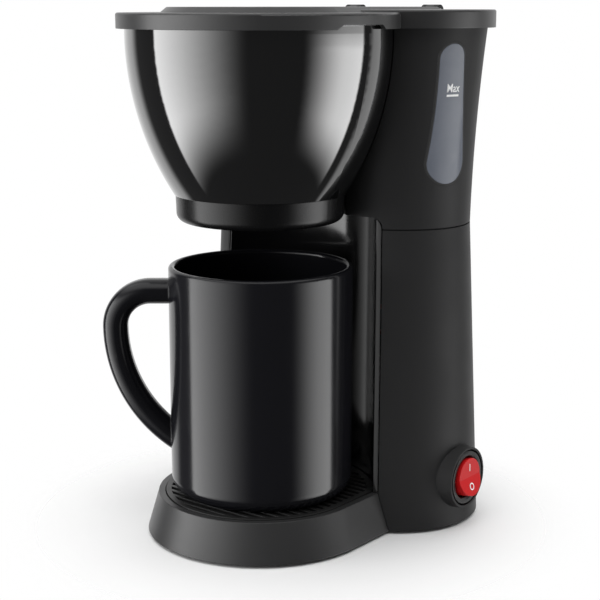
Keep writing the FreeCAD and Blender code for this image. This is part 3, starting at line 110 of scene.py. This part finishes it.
def mix_colours(tree, share, one, other):
    node = tree.nodes.new("ShaderNodeMix")
    node.data_type = "RGBA"
    link(tree, share, node.inputs["Factor"])
    link(tree, one, node.inputs["A"])
    link(tree, other, node.inputs["B"])
    return node.outputs["Result"]


def bump(tree, height, depth, below=None):
    """A normal bumped by a height of the given depth in metres."""
    node = tree.nodes.new("ShaderNodeBump")
    node.inputs["Distance"].default_value = depth
    link(tree, height, node.inputs["Height"])
    if below is not None:
        tree.links.new(below, node.inputs["Normal"])
    return node.outputs["Normal"]


def soft_edges(tree, radius):
    """A normal that rounds the piece's edges."""
    node = tree.nodes.new("ShaderNodeBevel")
    node.samples = BEVEL_SAMPLES
    node.inputs["Radius"].default_value = radius
    return node.outputs["Normal"]


def new_material(name):
    material = bpy.data.materials.new(name)
    material.use_nodes = True
    return material, material.node_tree, material.node_tree.nodes["Principled BSDF"]


def grey(level):
    return (level, level, level, 1)


def shaded(colour, share):
    """The colour brought down to a share of its brightness."""
    return tuple(channel * share for channel in colour[:3]) + (1,)


def set_values(surface, values):
    """Sets plain values on the surface's sockets, named with underscores for spaces."""
    for socket, value in values.items():
        surface.inputs[socket.replace("_", " ")].default_value = value


# Materials

# Sizes of the patterns: patches of gloss on mouldings, waves and wiping marks on polished pieces, specks in
# paint, lines on drawn metal, the pitch of the filter's wires, and clouds and ripples in the window.
PATCH = 18 * MM
WAVE = 30 * MM
WIPING = 6 * MM
SPECK = 0.4 * MM
LINE = 0.15 * MM
WIRE_PITCH = 0.7 * MM
CLOUD = 9 * MM
RIPPLE = 6 * MM
# The part of a noise's range that most of its values lie in.
NOISE_RANGE = (0.3, 0.7)


def moulded(name, colour, rough, grain=0.35 * MM, depth=0.02 * MM, edge=0.5 * MM, **values):
    """Moulded plastic: a fine grain, slight patches of gloss and colour, and eased edges."""
    material, tree, surface = new_material(name)
    patches = noise(tree, PATCH, 2)
    fine = noise(tree, grain, 4)
    link(tree, mix_colours(tree, patches, colour, shaded(colour, 0.88)), surface.inputs["Base Color"])
    link(tree, span(tree, patches, NOISE_RANGE, (rough - 0.02, rough + 0.03)), surface.inputs["Roughness"])
    link(tree, bump(tree, fine, depth, soft_edges(tree, edge)), surface.inputs["Normal"])
    set_values(surface, values)
    return material


def polished(name, colour, rough, wave=0.004 * MM, edge=0.5 * MM, **values):
    """A polished piece: long shallow waves from the mould, and faint wiping marks in the gloss."""
    material, tree, surface = new_material(name)
    long_waves = noise(tree, WAVE, 1)
    wiping = noise(tree, WIPING, 4, (1, 1, 0.6))
    surface.inputs["Base Color"].default_value = colour
    link(tree, span(tree, wiping, (0.3, 0.75), (rough * 0.95, rough * 1.12)), surface.inputs["Roughness"])
    link(tree, bump(tree, long_waves, wave, soft_edges(tree, edge)), surface.inputs["Normal"])
    set_values(surface, values)
    return material


def printed(name, colour):
    """Pad-printed paint, a little thinner in places."""
    material, tree, surface = new_material(name)
    specks = noise(tree, SPECK, 2)
    link(tree, mix_colours(tree, specks, colour, shaded(colour, 0.9)), surface.inputs["Base Color"])
    set_values(surface, {"Roughness": 0.6, "Specular_IOR_Level": 0.3})
    return material


def drawn_metal(name, colour, rough, stretch=(1, 1, 0.05)):
    """Bright metal with fine drawing lines."""
    material, tree, surface = new_material(name)
    lines = noise(tree, LINE, 3, stretch)
    link(tree, mix_colours(tree, lines, colour, shaded(colour, 0.8)), surface.inputs["Base Color"])
    link(tree, span(tree, lines, NOISE_RANGE, (rough, rough + 0.12)), surface.inputs["Roughness"])
    link(tree, bump(tree, lines, 0.01 * MM, soft_edges(tree, 0.2 * MM)), surface.inputs["Normal"])
    set_values(surface, {"Metallic": 1})
    return material


def woven_steel(name):
    """The filter's fine wire cloth: two sets of crossing wires, with painted shade in the holes between them.
    """
    material, tree, surface = new_material(name)
    waves = []
    for axis in ("Z", "X"):
        wave = tree.nodes.new("ShaderNodeTexWave")
        wave.bands_direction = axis
        wave.inputs["Scale"].default_value = math.pi / 20 / WIRE_PITCH
        tree.links.new(place_in_object(tree), wave.inputs["Vector"])
        waves.append(wave.outputs["Fac"])
    wires = calc(tree, "MAXIMUM", *waves)
    # Painted shade: the holes between the wires get a dark grey in place of the shade seen through them.
    bright = span(tree, wires, (0.55, 0.75), (0, 1))
    link(tree, mix_colours(tree, bright, grey(0.06), grey(0.5)), surface.inputs["Base Color"])
    link(tree, bump(tree, wires, 0.1 * MM), surface.inputs["Normal"])
    set_values(surface, {"Metallic": 1, "Roughness": 0.35})
    return material


def level_window(name):
    """Translucent window plastic, faintly blue, clouded by the moulding on its inner face."""
    material, tree, surface = new_material(name)
    clouds = noise(tree, CLOUD, 3)
    ripples = noise(tree, RIPPLE, 2)
    pale = (0.15, 0.163, 0.195, 1)
    deep = (0.115, 0.128, 0.158, 1)
    link(tree, mix_colours(tree, clouds, pale, deep), surface.inputs["Base Color"])
    link(tree, bump(tree, ripples, 0.01 * MM, soft_edges(tree, 0.5 * MM)), surface.inputs["Normal"])
    set_values(surface, {"Roughness": 0.22, "Transmission_Weight": 0.12, "Specular_IOR_Level": 0.12})
    return material


CHARCOAL = (0.0235, 0.0235, 0.0239, 1)
GLOSS_BLACK = (0.003, 0.003, 0.0032, 1)

charcoal = moulded("charcoal_plastic", CHARCOAL, 0.45, Specular_IOR_Level=0.08)
base_plastic = moulded("base_plastic", CHARCOAL, 0.38, Specular_IOR_Level=0.36)
lid_plastic = moulded("lid_plastic", CHARCOAL, 0.36, depth=0.012 * MM, Specular_IOR_Level=0.4)
gloss_black = polished("gloss_black", GLOSS_BLACK, 0.05, Specular_IOR_Level=0.8, Coat_Weight=0.6,
                       Coat_Roughness=0.03)
panel_black = polished("panel_black", GLOSS_BLACK, 0.12, Specular_IOR_Level=0.35)
satin_black = polished("satin_black", GLOSS_BLACK, 0.26, Specular_IOR_Level=0.22)
switch_black = polished("switch_black", (0.006, 0.006, 0.0062, 1), 0.25, Specular_IOR_Level=0.3)
glaze = polished("black_glaze", (0.0055, 0.0055, 0.0068, 1), 0.15, wave=0.02 * MM, edge=1 * MM,
                 Specular_IOR_Level=0.24, Coat_Weight=0.05, Coat_Roughness=0.1)
grate_plastic = moulded("grate_plastic", (0.012, 0.012, 0.012, 1), 0.42, edge=0.3 * MM, Specular_IOR_Level=0.4)
rubber = moulded("black_rubber", (0.014, 0.014, 0.014, 1), 0.75, grain=0.6 * MM, depth=0.05 * MM)
tank_plastic = moulded("tank_plastic", (0.06, 0.06, 0.064, 1), 0.35)
filter_plastic = moulded("filter_plastic", (0.045, 0.045, 0.046, 1), 0.4)
white_plastic = moulded("white_plastic", (0.7, 0.69, 0.65, 1), 0.45)
red_plastic = polished("red_plastic", (0.5, 0.008, 0.01, 1), 0.35, Specular_IOR_Level=0.15,
                       Subsurface_Weight=0.1, Subsurface_Scale=1 * MM)
wire_plastic = moulded("wire_plastic", (0.35, 0.02, 0.015, 1), 0.4)
silicone = moulded("silicone", (0.72, 0.7, 0.66, 1), 0.4, grain=2 * MM, Subsurface_Weight=0.3,
                   Subsurface_Scale=2 * MM)
steel = drawn_metal("steel", grey(0.52), 0.25)
cast_aluminium = drawn_metal("cast_aluminium", (0.66, 0.66, 0.67, 1), 0.42, (1, 1, 1))
brass = drawn_metal("brass", (0.72, 0.52, 0.24, 1), 0.25)
wire_cloth = woven_steel("wire_cloth")
window_plastic = level_window("window_plastic")
white_print = printed("white_print", grey(0.85))

FINISH = {
    charcoal: ("upper_housing", "lower_housing", "bottom_cover"),
    base_plastic: ("base_tray",),
    lid_plastic: ("lid",),
    gloss_black: ("funnel_bowl",),
    panel_black: ("front_panel",),
    switch_black: ("switch_body",),
    satin_black: ("funnel_ring",),
    glaze: ("mug",),
    grate_plastic: ("drip_grate",),
    rubber: ("rubber_feet", "window_gasket", "cord_gland"),
    tank_plastic: ("riser_tube", "spout_arm", "shower_head", "check_valve"),
    filter_plastic: ("filter_frame",),
    white_plastic: ("thermal_fuse", "terminal_block"),
    red_plastic: ("rocker",),
    wire_plastic: ("wires",),
    silicone: ("riser_seal", "inlet_hose_upper", "inlet_hose_lower", "outlet_hose", "valve_insert"),
    steel: (
        "hinge_pins",
        "cover_screws",
        "heater_screws",
        "heater_posts",
        "hose_clamps",
        "heater_element",
        "thermostat",
    ),
    cast_aluminium: ("heater_block", "heater_tube"),
    brass: ("switch_terminals",),
    wire_cloth: ("filter_mesh",),
    window_plastic: ("window_lens",),
}
for material, names in FINISH.items():
    for name in names:
        nodes[name].data.materials.clear()
        nodes[name].data.materials.append(material)


# Printed marks

PRINT = 0.05 * MM


def print_piece(name, mesh, body, onto=None):
    """A thin print as a piece of its own that moves with a body; it can be laid onto a piece along X."""
    piece = bpy.data.objects.new(name, mesh)
    piece.data.materials.append(white_print)
    bpy.context.collection.objects.link(piece)
    if onto is not None:
        wrap = piece.modifiers.new("wrap", "SHRINKWRAP")
        wrap.target = onto
        wrap.wrap_method = "PROJECT"
        wrap.use_project_x = True
        wrap.use_project_z = False
        wrap.use_negative_direction = True
        wrap.use_positive_direction = False
    paint = piece.modifiers.new("paint", "SOLIDIFY")
    paint.thickness = PRINT
    paint.offset = 1
    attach(piece, body)


def in_strips(mesh, pitch):
    """Cuts a flat mesh into narrow upright strips, so that it can bend round a curved face."""
    shape = bmesh.new()
    shape.from_mesh(mesh)
    low = min(vert.co.x for vert in shape.verts)
    high = max(vert.co.x for vert in shape.verts)
    for step in range(1, int((high - low) / pitch) + 1):
        everything = [*shape.verts, *shape.edges, *shape.faces]
        place = (low + step * pitch, 0, 0)
        bmesh.ops.bisect_plane(shape, geom=everything, plane_co=place, plane_no=(1, 0, 0))
    shape.to_mesh(mesh)
    shape.free()
    return mesh


def outline_mesh(name, loops):
    """A flat mesh between closed outlines of x, y points, filled by the even-odd rule."""
    curve = bpy.data.curves.new(name, "CURVE")
    curve.dimensions = "2D"
    curve.fill_mode = "FRONT"
    for loop in loops:
        spline = curve.splines.new("POLY")
        spline.points.add(len(loop) - 1)
        for point, (x, y) in zip(spline.points, loop):
            point.co = (x, y, 0, 1)
        spline.use_cyclic_u = True
    return mesh_of(curve)


def mesh_of(curve):
    """A curve or text as a mesh; the curve itself is dropped."""
    holder = bpy.data.objects.new(curve.name, curve)
    mesh = bpy.data.meshes.new_from_object(holder)
    mesh.name = curve.name
    bpy.data.objects.remove(holder)
    return mesh


def circle(radius, count=40):
    return [(radius * math.cos(turn), radius * math.sin(turn))
            for turn in (2 * math.pi * step / count for step in range(count))]


def bar(width, height, count=8):
    """An upright bar with round ends."""
    radius = width / 2
    reach = height / 2 - radius
    steps = [math.pi * step / count for step in range(count + 1)]
    top = [(radius * math.cos(turn), reach + radius * math.sin(turn)) for turn in steps]
    return top + [(-x, -y) for x, y in top]


def text_mesh(name, words, height, narrow, bold):
    """Words as a mesh, drawn in sideways and with their strokes made wider."""
    curve = bpy.data.curves.new(name, "FONT")
    curve.body = words
    curve.align_x = "CENTER"
    curve.size = height
    curve.offset = bold
    mesh = mesh_of(curve)
    mesh.transform(Matrix.Diagonal((narrow, 1, 1, 1)))
    return mesh


# The level mark on the window: the word and a line under it, wrapped onto the window's face.
MARK_HEIGHT = 5.2 * MM
MARK_BASE = 41.5 * MM
MARK_NARROW = 0.8
MARK_BOLD = 0.07 * MM
LINE_SIZE = (6.6 * MM, 0.9 * MM)
LINE_DROP = 1.6 * MM
MARK_BACK = -0.3 * MM
MARK_CLEAR = 5 * MM
STRIP = 0.4 * MM
# A mark's own x runs along +Y of the machine and its own y runs up, so it faces +X.
FACING_X = Matrix(((0, 0, 1), (1, 0, 0), (0, 1, 0))).to_4x4()


def level_mark():
    low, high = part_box("window_lens")
    centre = Vector((high[0] + MARK_CLEAR, (low[1] + high[1]) / 2 + MARK_BACK, low[2] + MARK_BASE))
    word = text_mesh("level_word", "Max", MARK_HEIGHT, MARK_NARROW, MARK_BOLD)
    half, thin = LINE_SIZE[0] / 2, LINE_SIZE[1] / 2
    corners = ((-1, -1), (1, -1), (1, 1), (-1, 1))
    line = outline_mesh("level_line", [[(x * half, y * thin - LINE_DROP) for x, y in corners]])
    for name, mesh in (("level_word", word), ("level_line", line)):
        in_strips(mesh, STRIP).transform(Matrix.Translation(centre) @ FACING_X)
        print_piece(name, mesh, "machine", nodes["window_lens"])


# The switch's marks lie on the rocker's two faces, which slope up from the middle.
ROCKER_RISE = 4.6 * MM
ROCKER_DIP = 1.3 * MM
ROCKER_R = 9 * MM
MARK_OUT = 4.6 * MM
ON_HEIGHT = 3.6 * MM
OFF_R = 1.75 * MM
STROKE = 0.55 * MM


def switch_marks():
    joint = joints["rocker_tilt"]
    rest = math.radians(sum(joint["range_deg"]) / 2)
    pivot = Matrix.Translation(Vector(joint["pos_m"])) @ Matrix.Rotation(-rest, 4, "Y")
    slope = math.atan2(ROCKER_DIP, ROCKER_R)
    height = ROCKER_RISE - ROCKER_DIP + ROCKER_DIP * MARK_OUT / ROCKER_R + PRINT
    marks = (
        ("switch_on", outline_mesh("switch_on", [bar(STROKE, ON_HEIGHT)]), 1),
        ("switch_off", outline_mesh("switch_off", [circle(OFF_R), circle(OFF_R - STROKE)]), -1),
    )
    for name, mesh, side in marks:
        lean = Matrix.Rotation(slope * side, 4, "Y")
        spot = Matrix.Translation((height, 0, MARK_OUT * side))
        mesh.transform(pivot @ spot @ lean @ FACING_X)
        print_piece(name, mesh, "switch_rocker")


level_mark()
switch_marks()


# Studio

LEFT_LEVEL = 6.3
RIGHT_LEVEL = 5.6
FILL = 0.08
BACKDROP = 1.0
OVERHEAD = 2.2
# Azimuths in degrees, as a camera's: 0 is in front of the machine, 90 on its right. A softbox ends sharply at
# its first one, is full at the second and has faded out at the third. The backdrop comes in over each pair.
LEFT_BOX = (-57, -57, 32)
RIGHT_BOX = (136, 120, 76)
BACK_EDGES = ((146, 153), (-84, -98))
# How many degrees a softbox's sharp end takes.
EDGE = 3
# Heights of a direction, as the sine of its elevation: where a box ends below and above.
LEFT_TALL = ((-0.78, -0.42), (0.3, 0.6))
RIGHT_TALL = ((-0.75, -0.45), (-0.11, 0.05))
TOP_EDGES = (0.45, 0.85)


def studio_world():
    """White to the camera; what the pieces see is a dark room with a white backdrop behind the machine,
    a large softbox on each side that fades towards the front, and a soft light overhead."""
    world = bpy.data.worlds.new("studio")
    world.use_nodes = True
    tree = world.node_tree
    bpy.context.scene.world = world
    coords = tree.nodes.new("ShaderNodeTexCoord")
    split = tree.nodes.new("ShaderNodeSeparateXYZ")
    tree.links.new(coords.outputs["Generated"], split.inputs["Vector"])
    x, y, z = split.outputs
    turn = calc(tree, "ARCTAN2", x, calc(tree, "MULTIPLY", y, -1))
    degrees = calc(tree, "MULTIPLY", turn, 180 / math.pi)

    def softbox(limits, tall, level, outward):
        """A level that falls off smoothly from the box's bright edge to the front and ends sharply outside."""
        edge, full, none = limits
        foot, head = tall
        fall = span(tree, degrees, (full, none), (level, 0), True)
        outside = span(tree, degrees, (edge, edge + EDGE * outward), (1, 0), True)
        wide = calc(tree, "MULTIPLY", fall, outside)
        high = calc(tree, "MULTIPLY", span(tree, z, foot, (0, 1), True), span(tree, z, head, (1, 0), True))
        return calc(tree, "MULTIPLY", wide, high)

    left = softbox(LEFT_BOX, LEFT_TALL, LEFT_LEVEL, -1)
    right = softbox(RIGHT_BOX, RIGHT_TALL, RIGHT_LEVEL, 1)
    above = span(tree, z, TOP_EDGES, (FILL, OVERHEAD), True)
    room = calc(tree, "ADD", calc(tree, "ADD", left, right), above)
    behind = calc(tree, "MAXIMUM", *(span(tree, degrees, edge, (0, 1), True) for edge in BACK_EDGES))

    # The white is what the camera sees all round, and what gloss sees behind the machine.
    path = tree.nodes.new("ShaderNodeLightPath")
    straight = calc(tree, "MAXIMUM", path.outputs["Is Camera Ray"], path.outputs["Is Transmission Ray"])
    glossy = calc(tree, "MULTIPLY", path.outputs["Is Glossy Ray"], behind)
    strength = tree.nodes.new("ShaderNodeMix")
    link(tree, calc(tree, "MAXIMUM", straight, glossy), strength.inputs["Factor"])
    link(tree, room, strength.inputs["A"])
    link(tree, BACKDROP, strength.inputs["B"])
    background = tree.nodes["Background"]
    background.inputs["Color"].default_value = grey(1)
    tree.links.new(strength.outputs["Result"], background.inputs["Strength"])


FLOOR_R = 0.3
FLOOR_CLEAR = (0.075, 0.15)
FLOOR_GREY = 0.78
FLOOR_GRAIN = 1.5 * MM


def floor():
    """A pale floor that keeps the shadow near the machine and fades into the white round about."""
    mesh = bpy.data.meshes.new("floor")
    shape = bmesh.new()
    bmesh.ops.create_circle(shape, cap_ends=True, segments=96, radius=FLOOR_R)
    shape.to_mesh(mesh)
    shape.free()
    piece = bpy.data.objects.new("floor", mesh)
    bpy.context.collection.objects.link(piece)
    material, tree, surface = new_material("floor_paper")
    set_values(surface, {"Base_Color": grey(FLOOR_GREY), "Roughness": 0.8})
    link(tree, bump(tree, noise(tree, FLOOR_GRAIN, 4), 0.02 * MM), surface.inputs["Normal"])
    length = tree.nodes.new("ShaderNodeVectorMath")
    length.operation = "LENGTH"
    tree.links.new(place_in_object(tree), length.inputs[0])
    clear = tree.nodes.new("ShaderNodeBsdfTransparent")
    blend = tree.nodes.new("ShaderNodeMixShader")
    link(tree, span(tree, length.outputs["Value"], FLOOR_CLEAR, (0, 1), True), blend.inputs["Fac"])
    tree.links.new(surface.outputs["BSDF"], blend.inputs[1])
    tree.links.new(clear.outputs["BSDF"], blend.inputs[2])
    tree.links.new(blend.outputs["Shader"], tree.nodes["Material Output"].inputs["Surface"])
    mesh.materials.append(material)
    piece.visible_glossy = False


# The photograph's camera: its place round the mug's axis, its height, where it looks, and its lens.
CAMERA_AZIMUTH = 40.0
CAMERA_REACH = 0.63857
CAMERA_HEIGHT = 0.244
CAMERA_YAW = 38.38
CAMERA_DIP = 11.85
CAMERA_LENS = 84.62
CAMERA_SENSOR = 36


def camera():
    data = bpy.data.cameras.new("photo_camera")
    data.sensor_width = CAMERA_SENSOR
    data.lens = CAMERA_LENS
    eye = bpy.data.objects.new("photo_camera", data)
    turn = math.radians(CAMERA_AZIMUTH)
    eye.location = (
        mug_axis.x + CAMERA_REACH * math.sin(turn),
        mug_axis.y - CAMERA_REACH * math.cos(turn),
        CAMERA_HEIGHT,
    )
    eye.rotation_euler = (math.radians(90 - CAMERA_DIP), 0, math.radians(CAMERA_YAW))
    bpy.context.collection.objects.link(eye)
    bpy.context.scene.camera = eye


studio_world()
floor()
camera()
bpy.context.scene.view_settings.view_transform = "Standard"
